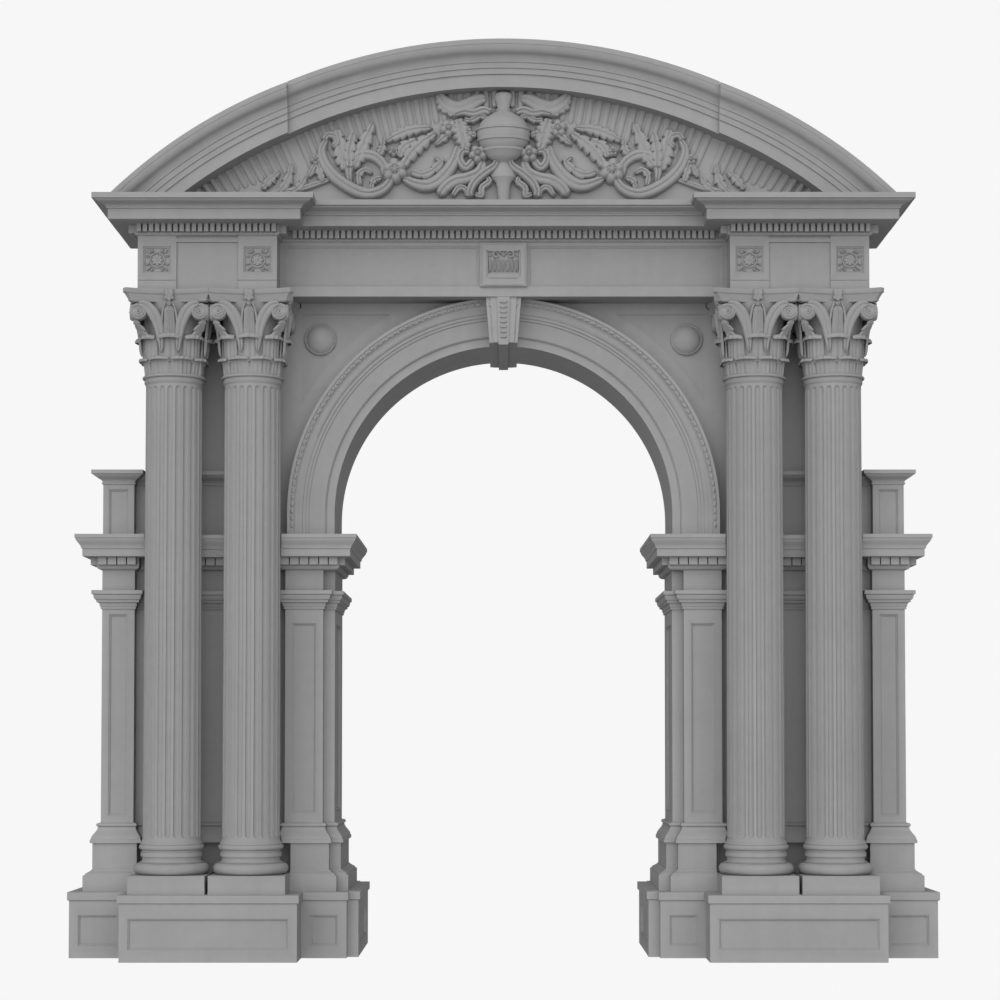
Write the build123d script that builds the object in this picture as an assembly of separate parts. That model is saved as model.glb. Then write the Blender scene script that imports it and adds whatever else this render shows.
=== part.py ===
"""Arched stone gateway: pedestals, piers, paired fluted Corinthian columns, arch, entablature
and a segmental pediment.

Millimetres, +Z up, front towards -Y, the archway centred on X = 0. Sizes are written with Y = 0
on the front face of the arch wall; every piece is moved back by origin_depth on writing, so that
the origin ends up on the ground in the middle of the gateway's box.
"""
from build123d import *
import math
import os

# ---- arch wall and piers ---------------------------------------------------------------------
arch_half_width = 1468          # jamb face to centre line, and radius of the arch's soffit
arch_centre_height = 3820
wall_depth = 880                # of the piers
arch_wall_depth = 714           # of the wall the arch is cut through
pilaster_projection = 104
inner_pilaster_start = arch_half_width + 94
inner_pilaster_end = inner_pilaster_start + 329
outer_pilaster_start = inner_pilaster_end + 1306
pier_outer = outer_pilaster_start + 281
arch_ring_depth = 172           # thickness of the arch ring where it runs through the wall
archivolt_width = 405
keystone_half_angle = 4.7
keystone_front = 275
wall_outer = pier_outer - 398
panel_sink = 20

# ---- columns -----------------------------------------------------------------------------------
column_spacing = 676
column_pair_centre = inner_pilaster_end + 603.5
column_forward = 313            # column axis in front of the wall face
column_plinth_width = 648
shaft_radius = 246
shaft_top_radius = 240
flute_count = 22
flute_radius = 24
notch_clearance = 3
abacus_reach = 385
volute_radius = 76
volute_reach = 369              # along the diagonal

# ---- heights -----------------------------------------------------------------------------------
pedestal_die_top = 487
pedestal_top = 560
lower_plinth_top = 695
upper_plinth_foot = 749
upper_plinth_top = 969
pier_shaft_foot = 1149
pier_shaft_top = 2990
pier_neck_top = 3151
impost_foot = 3328
impost_top = 3626
attic_cap_foot = 4072
attic_top = 4194
column_plinth_top = 716
column_base_top = 972
flute_foot = 1030
architrave_foot = arch_centre_height + arch_half_width + archivolt_width - 16
bell_top = architrave_foot - 110
shaft_top = architrave_foot - 708
flute_head = shaft_top - 99
architrave_top = architrave_foot + 80
frieze_top = architrave_top + 388
dentil_foot = frieze_top + 22
dentil_head = dentil_foot + 66
cornice_top = dentil_head + 205

# ---- offsets of the courses from the pier's face ---------------------------------------------
pedestal_offset = 225
pedestal_cap_lip = 15
pedestal_break_centre = column_pair_centre - 26.5
pedestal_break_half = column_spacing / 2 + 406
pedestal_break_front = 713
lower_plinth_offset = 130
upper_plinth_offset = 60
impost_offset = 205

# ---- entablature -------------------------------------------------------------------------------
break_centre = column_pair_centre + 25.5
break_half = column_spacing / 2 + 254
break_front = 561
centre_front = 305
entablature_back = 335
cornice_projection = 335
frieze_block_width = 330
plaque_half_width = 202
dentil_pitch = 52
dentil_gap = 17
impost_dentil_pitch = 84
impost_dentil_gap = 10

# ---- pediment ----------------------------------------------------------------------------------
crown_centre_height = cornice_top - 3368
crown_radius = 4786
crown_thickness = 385
crown_front = 522
crown_half_length = 1850
flank_centre_x = 309
flank_centre_height = cornice_top - 3060
flank_radius = 4367
flank_thickness = 375
flank_front = 575
tympanum_front = 250

# ---- sunk panels, (half width, half height) worked out from margins ------------------------------
pilaster_panel_margin = 62
inner_panel_heights = (1231, 2867)
outer_panel_heights = (1205, 2945)
pedestal_panel_foot = 108
pedestal_panel_head = 364

LONG = 10000                     # longer than anything here, for cutting boxes
origin_depth = (wall_depth + pilaster_projection + pedestal_offset + pedestal_cap_lip
                - break_front - cornice_projection) / 2
column_x = {"inner": column_pair_centre - column_spacing / 2,
            "outer": column_pair_centre + column_spacing / 2}


# ---- profile curves, as lists of (offset, height) ------------------------------------------------
def ogee(start, end, steps=8):
    """S-curve from start to end: the offset eases in and out along the height."""
    points = []
    for step in range(steps + 1):
        t = step / steps
        ease = (1 - math.cos(math.pi * t)) / 2
        points.append((start[0] + (end[0] - start[0]) * ease, start[1] + (end[1] - start[1]) * t))
    return points


def quarter(start, end, bulge, steps=6):
    """Quarter round from start to end; a bulge of 1 swells outward, 0 hollows inward."""
    points = []
    for step in range(steps + 1):
        angle = math.pi / 2 * step / steps
        across, up = math.sin(angle), 1 - math.cos(angle)
        if not bulge:
            across, up = up, across
        points.append((start[0] + (end[0] - start[0]) * across, start[1] + (end[1] - start[1]) * up))
    return points


def roll(foot, top, offset, bulge, steps=6):
    """Half round standing out from offset between two heights."""
    points = []
    for step in range(steps + 1):
        angle = math.pi * step / steps
        points.append((offset + bulge * math.sin(angle),
                       (foot + top) / 2 - (top - foot) / 2 * math.cos(angle)))
    return points


# ---- shape makers ----------------------------------------------------------------------------------
def box_between(low, high):
    """Box from its lowest corner to its highest."""
    size = [high[i] - low[i] for i in range(3)]
    middle = [(high[i] + low[i]) / 2 for i in range(3)]
    return Pos(*middle) * Box(*size)


def moulded_block(outline, profile):
    """Solid whose right-angled plan is the outline, pushed out by each (offset, height)."""
    count = len(outline)
    normals = []
    for index in range(count):
        x0, y0 = outline[index]
        x1, y1 = outline[(index + 1) % count]
        length = math.hypot(x1 - x0, y1 - y0)
        normals.append(((y1 - y0) / length, (x0 - x1) / length))

    def ring(offset, height):
        points = []
        for index, (x, y) in enumerate(outline):
            before, after = normals[index - 1], normals[index]
            points.append(Vector(x + offset * (before[0] + after[0]),
                                 y + offset * (before[1] + after[1]), height))
        return points

    rings = [ring(*step) for step in profile]
    faces = [Face(Wire.make_polygon(rings[0])), Face(Wire.make_polygon(rings[-1]))]
    for lower, upper in zip(rings, rings[1:]):
        for index in range(count):
            after = (index + 1) % count
            corners = [lower[index], lower[after], upper[after], upper[index]]
            faces.append(Face(Wire.make_polygon(corners)))
    block = Solid(Shell(faces))
    return block if block.volume > 0 else Solid(block.wrapped.Reversed())


def toothed_course(outline, root, tip, pitch, gap, foot, head):
    """Row of dentils round an outline: a comb-shaped plan between two heights."""
    count = len(outline)
    edges = []
    for index in range(count):
        x0, y0 = outline[index]
        x1, y1 = outline[(index + 1) % count]
        length = math.hypot(x1 - x0, y1 - y0)
        edges.append(((x1 - x0) / length, (y1 - y0) / length))
    corners = []
    for index, (x, y) in enumerate(outline):
        before, after = edges[index - 1], edges[index]
        corners.append((x + root * (before[1] + after[1]), y - root * (before[0] + after[0])))
    comb = []
    for index in range(count):
        x0, y0 = corners[index]
        x1, y1 = corners[(index + 1) % count]
        along = edges[index]
        out = (along[1], -along[0])
        length = math.hypot(x1 - x0, y1 - y0)
        ends = [gap / 2 if near[0] * far[1] - near[1] * far[0] > 0 else tip - root + gap
                for near, far in ((edges[index - 1], along), (along, edges[(index + 1) % count]))]
        teeth = int((length - sum(ends) + gap) // pitch)
        comb.append((x0, y0))
        start = ends[0] + (length - sum(ends) - teeth * pitch + gap) / 2
        for tooth in range(teeth):
            here = start + tooth * pitch
            there = here + pitch - gap
            for distance, reach in ((here, 0), (here, tip - root), (there, tip - root), (there, 0)):
                comb.append((x0 + along[0] * distance + out[0] * reach,
                             y0 + along[1] * distance + out[1] * reach))
    face = make_face(Polyline(*comb, close=True))
    return Pos(0, 0, foot) * extrude(face, head - foot)


def section(start, *steps):
    """Closed face in a plane. Each step is an end point, or the (middle, end) of an arc."""
    edges = []
    here = start
    for step in steps:
        if isinstance(step[0], tuple):
            edges.append(ThreePointArc(here, *step))
            here = step[1]
        else:
            edges.append(Line(here, step))
            here = step
    edges.append(Line(here, start))
    return make_face(edges)


def swan_neck(start, end, belly=0.12):
    """Two equal arcs from start to end that bend opposite ways, as steps of a section."""
    middle = ((start[0] + end[0]) / 2, (start[1] + end[1]) / 2)
    steps = []
    for here, there, side in ((start, middle, belly), (middle, end, -belly)):
        across, up = there[0] - here[0], there[1] - here[1]
        bow = (here[0] + across / 2 - up * side, here[1] + up / 2 + across * side)
        steps.append((bow, there))
    return steps


def dome(radius, foot, rise):
    """Step from (radius, foot) up to the axis along a sphere about the axis."""
    ball = (radius ** 2 + rise ** 2) / (2 * rise)
    half = math.asin(radius / ball) / 2
    bow = (ball * math.sin(half), foot + rise - ball * (1 - math.cos(half)))
    return (bow, (0, foot + rise))


def turned(start, *steps):
    """Solid of revolution about Z of a section given as (radius, height) steps."""
    return revolve(Plane.XZ * section(start, *steps), Axis.Z)


def sunk_panel(centre_x, face_y, half_width, foot, head, outward=-1):
    """Cutter for a framed panel in a front (outward -1) or back (+1) face: step, slope, floor."""
    low_x, high_x = centre_x - half_width, centre_x + half_width
    outline = [(low_x, foot), (high_x, foot), (high_x, head), (low_x, head)]
    profile = [(0, -5), (0, panel_sink * 0.45), (-9, panel_sink * 0.45), (-18, panel_sink)]
    cutter = moulded_block(outline, profile)
    if outward < 0:
        return Pos(0, face_y, 0) * Plane.XZ.location * mirror(cutter, Plane.XY)
    return Pos(0, face_y, 0) * Plane.XZ.location * cutter


def jamb_panel(face_x, low_y, high_y, foot, head):
    """Cutter for a framed panel in a face that looks towards the middle of the archway."""
    outline = [(low_y, foot), (high_y, foot), (high_y, head), (low_y, head)]
    profile = [(0, -5), (0, panel_sink * 0.45), (-9, panel_sink * 0.45), (-18, panel_sink)]
    return Pos(face_x, 0, 0) * Plane.YZ.location * moulded_block(outline, profile)


def column_cutter(clearance=notch_clearance):
    """Pair of cylinders a little wider than the shafts, for the courses behind the columns."""
    cutters = []
    for x in column_x.values():
        cylinder = Cylinder(shaft_radius + clearance, LONG)
        cutters.append(Pos(x, -column_forward, 0) * cylinder)
    return cutters


# ---- plans -----------------------------------------------------------------------------------------
def pier_outline():
    """Plan of the right pier, anticlockwise: a core with two pilasters on each long face."""
    front, back = -pilaster_projection, wall_depth + pilaster_projection
    jamb = arch_half_width
    return [(jamb, 0), (inner_pilaster_start, 0), (inner_pilaster_start, front),
            (inner_pilaster_end, front), (inner_pilaster_end, 0), (outer_pilaster_start, 0),
            (outer_pilaster_start, front), (pier_outer, front), (pier_outer, back),
            (outer_pilaster_start, back), (outer_pilaster_start, wall_depth),
            (inner_pilaster_end, wall_depth), (inner_pilaster_end, back),
            (inner_pilaster_start, back), (inner_pilaster_start, wall_depth), (jamb, wall_depth)]


def impost_outline():
    """Plan of the pier without its notch beside the archway, so that the course runs square."""
    points = pier_outline()
    front, back = points[2][1], points[8][1]
    return [(arch_half_width, front)] + points[3:13] + [(arch_half_width, back)]


def pedestal_outline():
    """Plan of the right pedestal's die: the pier's plan pushed out, with a block for the columns."""
    out = pedestal_offset
    front = -pilaster_projection - out
    back = wall_depth + pilaster_projection + out
    jamb = arch_half_width - out
    corner = inner_pilaster_start - out
    low = pedestal_break_centre - pedestal_break_half
    high = pedestal_break_centre + pedestal_break_half
    return [(jamb, -out), (corner, -out), (corner, front), (low, front),
            (low, -pedestal_break_front), (high, -pedestal_break_front), (high, front),
            (pier_outer + out, front), (pier_outer + out, back),
            (outer_pilaster_start - out, back), (outer_pilaster_start - out, wall_depth + out),
            (inner_pilaster_end + out, wall_depth + out), (inner_pilaster_end + out, back),
            (corner, back), (corner, wall_depth + out), (jamb, wall_depth + out)]


def entablature_outline():
    """Plan of the whole entablature's frieze: a wall with a break over each pair of columns."""
    low = break_centre - break_half
    high = break_centre + break_half
    return [(-high, -break_front), (-low, -break_front), (-low, -centre_front),
            (low, -centre_front), (low, -break_front), (high, -break_front),
            (high, entablature_back), (-high, entablature_back)]


# ---- right-hand piers ------------------------------------------------------------------------------
def pedestal():
    """Block under one pier and its columns, with sunk panels on every side."""
    block = moulded_block(pedestal_outline(), [(0, 0), (0, pedestal_die_top)])
    out = pedestal_offset
    front = -pilaster_projection - out
    foot, head = pedestal_panel_foot, pedestal_panel_head
    low = pedestal_break_centre - pedestal_break_half
    high = pedestal_break_centre + pedestal_break_half
    corner = inner_pilaster_start - out
    outer = pier_outer + out
    cutters = [sunk_panel(pedestal_break_centre, -pedestal_break_front, pedestal_break_half - 75,
                          foot, head)]
    back = wall_depth + pilaster_projection + out
    inner_back = inner_pilaster_end + out
    for start, end in ((corner, low), (high, outer)):
        cutters.append(sunk_panel((start + end) / 2, front, (end - start) / 2 - 78, foot, head))
    for start, end in ((corner, inner_back), (outer_pilaster_start - out, outer)):
        cutters.append(sunk_panel((start + end) / 2, back, (end - start) / 2 - 90, foot, head, 1))
    cutters.append(jamb_panel(arch_half_width - out, 0, wall_depth, foot, head))
    return block - cutters


def pedestal_cap():
    """Projecting plain cap of the pedestal."""
    lip = pedestal_cap_lip
    foot, top = pedestal_die_top, pedestal_top
    return moulded_block(pedestal_outline(), [(0, foot), (lip, foot + 8), (lip, top)])


def pier_base():
    """Two plinth courses and the moulded base of the pier, notched round the columns' bases."""
    lower, upper = lower_plinth_offset, upper_plinth_offset
    profile = [(lower, pedestal_top), (lower, lower_plinth_top), (lower - 12, lower_plinth_top)]
    profile += ogee((lower - 14, lower_plinth_top + 6), (upper + 8, upper_plinth_foot - 6))
    profile += [(upper, upper_plinth_foot - 6), (upper, upper_plinth_top)]
    profile += [(upper + 20, upper_plinth_top + 2), (upper + 20, upper_plinth_top + 30)]
    profile += ogee((upper + 14, upper_plinth_top + 32), (22, pier_shaft_foot - 44))
    profile += roll(pier_shaft_foot - 40, pier_shaft_foot - 8, 18, 16)
    profile += [(8, pier_shaft_foot - 8), (0, pier_shaft_foot)]
    block = moulded_block(pier_outline(), profile)
    half = column_spacing / 2 + column_plinth_width / 2
    wall_back = column_plinth_width / 2 - column_forward
    plinths = box_between((column_pair_centre - half, -LONG, 0),
                          (column_pair_centre + half, wall_back, upper_plinth_top + 3))
    return block - [plinths] - column_cutter(35)


def pier_shaft():
    """Plain pier with long sunk panels on its pilasters and on the face in the archway."""
    block = moulded_block(pier_outline(), [(0, pier_shaft_foot), (0, pier_shaft_top)])
    front, back = -pilaster_projection, wall_depth + pilaster_projection
    cutters = []
    for start, end, foot, head in ((inner_pilaster_start, inner_pilaster_end, *inner_panel_heights),
                                   (outer_pilaster_start, pier_outer, *outer_panel_heights)):
        middle, half = (start + end) / 2, (end - start) / 2 - pilaster_panel_margin
        cutters.append(sunk_panel(middle, front, half, foot, head))
        cutters.append(sunk_panel(middle, back, half, foot, head, 1))
    cutters.append(jamb_panel(arch_half_width, 150, wall_depth - 150, *inner_panel_heights))
    return block - cutters


def pier_capital():
    """Neck ring, swelling band and plain frieze on top of the pier."""
    foot, top = pier_shaft_top, pier_neck_top
    profile = [(0, foot), (12, foot + 2), (12, foot + 22), (18, foot + 24)]
    profile += quarter((18, foot + 26), (36, foot + 58), 0) + [(44, foot + 60), (44, foot + 76)]
    profile += quarter((46, foot + 78), (66, foot + 122), 1)
    profile += [(72, foot + 124), (80, top - 32), (80, top - 2), (76, top), (0, top)]
    profile += [(0, impost_foot)]
    return moulded_block(pier_outline(), profile) - column_cutter()


def impost_cornice():
    """Cornice of the pier that the arch springs from: bed mould, dentils, corona and cyma."""
    foot, top, reach = impost_foot, impost_top, impost_offset
    bed = [(0, foot), (12, foot + 2)] + quarter((14, foot + 4), (45, foot + 43), 1)
    bed += [(45, foot + 104)]
    crown = [(45, foot + 104), (reach - 62, foot + 109), (reach - 58, foot + 113),
             (reach - 58, foot + 172), (reach - 50, foot + 177)]
    crown += ogee((reach - 48, foot + 182), (reach - 6, top - 34))
    crown += [(reach, top - 32), (reach, top)]
    course = moulded_block(impost_outline(), bed + crown[1:])
    teeth = toothed_course(impost_outline(), 44, 95, impost_dentil_pitch, impost_dentil_gap,
                           foot + 43, foot + 106)
    return course + teeth - column_cutter()


def attic_block():
    """Low block standing on the outer end of the impost, with its own small cap."""
    inner = column_x["inner"] - 56
    front, back = -pilaster_projection, wall_depth + pilaster_projection
    outline = [(inner - 300, 0), (outer_pilaster_start + 9, 0), (outer_pilaster_start + 9, front),
               (pier_outer - 3, front), (pier_outer - 3, back),
               (outer_pilaster_start + 9, back), (outer_pilaster_start + 9, wall_depth),
               (inner - 300, wall_depth)]
    foot, cap, top = impost_top, attic_cap_foot, attic_top
    profile = [(0, foot), (0, cap)] + roll(cap + 2, cap + 20, 4, 8)
    profile += ogee((6, cap + 24), (74, top - 36)) + [(88, top - 34), (90, top - 30), (90, top)]
    block = moulded_block(outline, profile)
    middle, half = (outer_pilaster_start + 9 + pier_outer - 3) / 2, 84
    cutters = [sunk_panel(middle, front, half, foot - 40, cap - 40),
               sunk_panel(middle, back, half, foot - 40, cap - 40, 1)]
    cutters.append(box_between((-LONG, -LONG, 0), (inner, LONG, LONG)))
    return block - cutters - column_cutter()


# ---- right-hand arch wall ----------------------------------------------------------------------------
def arch_point(radius, angle):
    """Point on a circle about the arch's centre, the angle in degrees up from the springing."""
    turn = math.radians(angle)
    return (radius * math.cos(turn), arch_centre_height + radius * math.sin(turn))


def spandrel_wall():
    """Wall between the arch ring and the end of the gateway, with a sunk panel in its corner."""
    ring = arch_half_width + arch_ring_depth
    end_angle = 90 - keystone_half_angle
    end = arch_point(ring, end_angle)
    top_x = (architrave_foot - arch_centre_height) * math.tan(math.radians(keystone_half_angle))
    inner = column_x["inner"] - 56
    outline = [Line((ring, impost_top), (ring, arch_centre_height)),
               ThreePointArc((ring, arch_centre_height), arch_point(ring, end_angle / 2), end),
               Polyline(end, (top_x, architrave_foot), (wall_outer, architrave_foot),
                        (wall_outer, attic_top), (inner, attic_top), (inner, impost_top),
                        (ring, impost_top))]
    wall = Pos(0, arch_wall_depth, 0) * extrude(Plane.XZ * make_face(outline), arch_wall_depth)
    top, side = architrave_foot - 98, inner_pilaster_end - 135
    edge = arch_half_width + archivolt_width + 147
    left = (math.sqrt(edge ** 2 - (top - arch_centre_height) ** 2), top)
    low = (side, arch_centre_height + math.sqrt(edge ** 2 - side ** 2))
    middle = arch_point(edge, (math.degrees(math.atan2(left[1] - arch_centre_height, left[0]))
                               + math.degrees(math.atan2(low[1] - arch_centre_height, low[0]))) / 2)
    panel = make_face([Line(left, (side, top)), Line((side, top), low),
                       ThreePointArc(low, middle, left)])
    sink = panel_sink / 2
    front = Pos(0, sink, 0) * extrude(Plane.XZ * panel, sink + 5)
    back = Pos(0, arch_wall_depth + 5, 0) * extrude(Plane.XZ * panel, sink + 5)
    return wall - [front, back]


def spandrel_boss():
    """Turned boss with a ring round it, on the spandrel panel of each face."""
    boss = turned((0, 0), (137, 0), (137, 22), (130, 30), (124, 26), dome(124, 26, 66))
    place = Pos(inner_pilaster_end - 290, panel_sink / 2, architrave_foot - 319)
    front = place * Rot(90, 0, 0) * boss
    back = Pos(inner_pilaster_end - 290, arch_wall_depth - panel_sink / 2,
               architrave_foot - 319) * Rot(-90, 0, 0) * boss
    return [front, back]


def archivolt():
    """Right half of the arch ring, through the wall, moulded on the front and the back."""
    soffit, rim = arch_half_width, arch_half_width + archivolt_width
    body = soffit + arch_ring_depth
    steps = [(soffit, -72), (soffit + 70, -72), (soffit + 72, -82), (soffit + 84, -96),
             (soffit + 222, -96), (soffit + 222, -106), (soffit + 247, -106),
             (soffit + 247, -116), (soffit + 270, -116), (soffit + 272, -120)]
    steps += swan_neck((soffit + 272, -120), (rim - 61, -148), -0.16)
    steps += [(rim - 59, -156), (rim - 27, -156), (rim - 25, -164), (rim, -164), (rim, 0),
              (body, 0), (body, arch_wall_depth / 2)]
    half = Pos(0, 0, arch_centre_height) * section((soffit, arch_wall_depth / 2), *steps)
    axis = Axis((0, 0, arch_centre_height), (0, -1, 0))
    ring = revolve(half, axis, 90 - keystone_half_angle)
    ring += extrude(half, arch_centre_height - impost_top, dir=(0, 0, -1))
    ring += mirror(ring, Plane.XZ.offset(-arch_wall_depth / 2))
    return ring - box_between((-LONG, -LONG, architrave_foot), (LONG, LONG, LONG))


def keystone():
    """Wedge at the crown, through the wall, with a raised band down its face."""
    outer = architrave_foot - arch_centre_height
    inner = arch_half_width - 6
    half = math.tan(math.radians(keystone_half_angle))

    def wedge(share, low, high, front, back):
        face = make_face(Polyline(
            (-low * half * share, arch_centre_height + low),
            (low * half * share, arch_centre_height + low),
            (high * half * share, arch_centre_height + high),
            (-high * half * share, arch_centre_height + high), close=True))
        return Pos(0, back, 0) * extrude(Plane.XZ * face, back - front)

    face, back = -keystone_front, arch_wall_depth + keystone_front
    stone = wedge(1, inner, outer, face, back)
    stone += wedge(0.74, inner, outer, face - 14, back + 14)
    return stone + wedge(0.36, inner - 20, outer, face - 26, back + 26)


# ---- columns -------------------------------------------------------------------------------------------
def column_base():
    """Square plinth, two tori with a scotia between them, and a small ring."""
    width, foot = column_plinth_width, pedestal_top
    plinth = box_between((-width / 2, -width / 2, foot), (width / 2, width / 2, column_plinth_top))
    z = column_plinth_top
    rings = turned((0, z), (270, z), ((319, z + 49), (270, z + 98)), (274, z + 104),
                   ((247, z + 126), (256, z + 152)), (261, z + 154), (261, z + 188), (252, z + 190),
                   (252, z + 208), ((276, z + 232), (252, column_base_top)), (0, column_base_top))
    return plinth + rings


def column_shaft():
    """Fluted shaft with a flared foot, and a fillet and astragal at its top."""
    foot, top = column_base_top, shaft_top
    shaft = turned((0, foot), (263, foot), (263, foot + 14), ((251, foot + 30), (shaft_radius, flute_foot)),
                   (shaft_top_radius, flute_head + 20), (252, top - 59), (252, top - 25),
                   (258, top - 25), ((270, top - 13), (258, top)), (0, top))
    length = flute_head - flute_foot - 2 * flute_radius
    flute = Pos(0, 0, (flute_head + flute_foot) / 2) * Cylinder(flute_radius, length)
    flute += Pos(0, 0, flute_foot + flute_radius) * Sphere(flute_radius)
    flute += Pos(0, 0, flute_head - flute_radius) * Sphere(flute_radius)
    flutes = []
    for index in range(flute_count):
        angle = 360 / flute_count * (index + 0.5)
        flutes.append(Rot(0, 0, angle) * Pos(shaft_radius + 3, 0, 0) * flute)
    return shaft - flutes


def abacus():
    """Four-horned slab with hollow sides and cut corners."""
    reach, cut, hollow = abacus_reach, 60, 75
    edges = []
    for turn in range(4):
        angle = math.radians(90 * turn)

        def spin(x, y):
            return (x * math.cos(angle) - y * math.sin(angle), x * math.sin(angle) + y * math.cos(angle))

        edges.append(ThreePointArc(spin(-reach + cut, -reach), spin(0, -reach + hollow),
                                   spin(reach - cut, -reach)))
        edges.append(Line(spin(reach - cut, -reach), spin(reach, -reach + cut)))
    slab = make_face(edges)
    upper = Pos(0, 0, bell_top + 78) * extrude(slab, architrave_foot - bell_top - 78)
    lower = Pos(0, 0, bell_top) * extrude(scale(slab, 0.94), 78)
    return upper + lower


def column_capital(joint_side):
    """Bell with two tiers of leaf lips, four corner volutes and the abacus."""
    z = shaft_top
    bell = turned((0, z), (238, z), (246, z + 100), (306, z + 132), (300, z + 146), (250, z + 150),
                  (252, z + 280), (318, z + 308), (312, z + 326), (248, z + 334),
                  ((262, z + 480), (305, bell_top)), (0, bell_top))
    volutes = []
    for turn in range(4):
        scroll = Rot(90, 0, 0) * Cylinder(volute_radius, 96)
        place = Pos(volute_reach, 0, bell_top - volute_radius + 4)
        volutes.append(Rot(0, 0, 45 + 90 * turn) * place * scroll)
    capital = bell + volutes + abacus()
    joint = joint_side * column_spacing / 2
    if joint_side > 0:
        cutter = box_between((joint, -LONG, 0), (LONG, LONG, LONG))
    else:
        cutter = box_between((-LONG, -LONG, 0), (joint, LONG, LONG))
    wall = box_between((-LONG, column_forward, 0), (LONG, LONG, LONG))
    return capital - [cutter, wall]


# ---- entablature ---------------------------------------------------------------------------------------
def column_frieze():
    """Block of architrave and frieze over one pair of columns, raised over each column."""
    low = break_centre - break_half
    high = break_centre + break_half
    block = box_between((low, 16 - break_front, architrave_foot), (high, entablature_back, frieze_top))
    cutters = []
    for start in (low, high - frieze_block_width):
        end = start + frieze_block_width
        block += box_between((start, -break_front, architrave_foot), (end, 16 - break_front, frieze_top))
        middle = (start + end) / 2
        cutters.append(sunk_panel(middle, -break_front, 118, architrave_top + 70, frieze_top - 92))
        cutters.append(box_between((start - 5, -LONG, architrave_top + 4),
                                   (end + 5, 6 - break_front, architrave_top + 10)))
    block += box_between((low + frieze_block_width, 2 - break_front, frieze_top - 54),
                         (high - frieze_block_width, 16 - break_front, frieze_top - 20))
    return block - cutters


def architrave():
    """Plain beam over the arch, between the two column blocks."""
    half = break_centre - break_half
    return box_between((-half, -centre_front, architrave_foot), (half, entablature_back, architrave_top))


def central_frieze():
    """Frieze between the column blocks, with a sunk panel each side of the middle."""
    half = break_centre - break_half
    block = box_between((-half, -centre_front, architrave_top), (half, entablature_back, frieze_top))
    inner, outer = plaque_half_width + 14, half - 40
    cutters = []
    for side in (-1, 1):
        cutters.append(sunk_panel(side * (inner + outer) / 2, -centre_front, (outer - inner) / 2,
                                  architrave_top + 8, frieze_top - 34))
    return block - cutters


def frieze_plaque():
    """Framed square plaque in the middle of the frieze, sunk to take its carving."""
    half = plaque_half_width
    outline = [(-half, architrave_top + 3), (half, architrave_top + 3),
               (half, frieze_top - 1), (-half, frieze_top - 1)]
    plate = moulded_block(outline, [(0, 0), (0, 22), (-8, 28), (-22, 28)])
    plate = Pos(0, -centre_front, 0) * Plane.XZ.location * plate
    return plate - sunk_panel(0, -centre_front - 28, 146, architrave_top + 108, frieze_top - 72)


def dentil_course():
    """Bed mould and dentils under the main cornice."""
    outline = entablature_outline()
    foot, head = dentil_foot, dentil_head
    bed = [(0, frieze_top)] + quarter((4, frieze_top + 2), (24, foot), 1) + [(24, head)]
    teeth = toothed_course(outline, 23, 78, dentil_pitch, dentil_gap, foot, head)
    course = moulded_block(outline, bed) + teeth
    return course - box_between((-LONG, entablature_back, 0), (LONG, LONG, LONG))


def main_cornice():
    """Corona and cymatium that run round the entablature and break over the columns."""
    reach, foot, top = cornice_projection, dentil_head, cornice_top
    profile = [(78, foot), (reach - 123, foot + 4), (reach - 117, foot + 8),
               (reach - 117, foot + 92), (reach - 105, foot + 95), (reach - 105, foot + 110)]
    profile += ogee((reach - 98, foot + 112), (reach - 24, top - 52), 10)
    profile += [(reach - 22, top - 48), (reach, top - 46), (reach, top)]
    block = moulded_block(entablature_outline(), profile)
    return block - box_between((-LONG, entablature_back, 0), (LONG, LONG, LONG))


# ---- pediment --------------------------------------------------------------------------------------------
def raking_ring(centre_x, centre_height, radius, thickness, front):
    """Quarter of a moulded ring about a horizontal axis, from the springing to the crown."""
    rim = centre_x + radius
    neck_start, neck_end = (rim - 45, 4 - front), (rim - 176, 84 - front)
    steps = [(rim, -front), (rim - 41, -front), neck_start] + swan_neck(neck_start, neck_end, 0.16)
    steps += [(rim - 180, 92 - front), (rim - 225, 92 - front), (rim - 225, 101 - front),
              (rim - 275, 101 - front), (rim - 275, 113 - front), (rim - thickness, 113 - front),
              (rim - thickness, entablature_back)]
    ring = Pos(0, 0, centre_height) * section((rim, entablature_back), *steps)
    return revolve(ring, Axis((centre_x, 0, centre_height), (0, -1, 0)), 90)


def raking_crown():
    """Middle length of the curved cornice."""
    right = raking_ring(0, crown_centre_height, crown_radius, crown_thickness, crown_front)
    keep = box_between((0, -LONG, cornice_top), (crown_half_length, LONG, LONG))
    right = right & keep
    return right + mirror(right, Plane.YZ)


def raking_flank():
    """Right end of the curved cornice, breaking forward over the columns."""
    ring = raking_ring(flank_centre_x, flank_centre_height, flank_radius, flank_thickness,
                       flank_front)
    return ring & box_between((crown_half_length, -LONG, cornice_top), (LONG, LONG, LONG))


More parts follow.
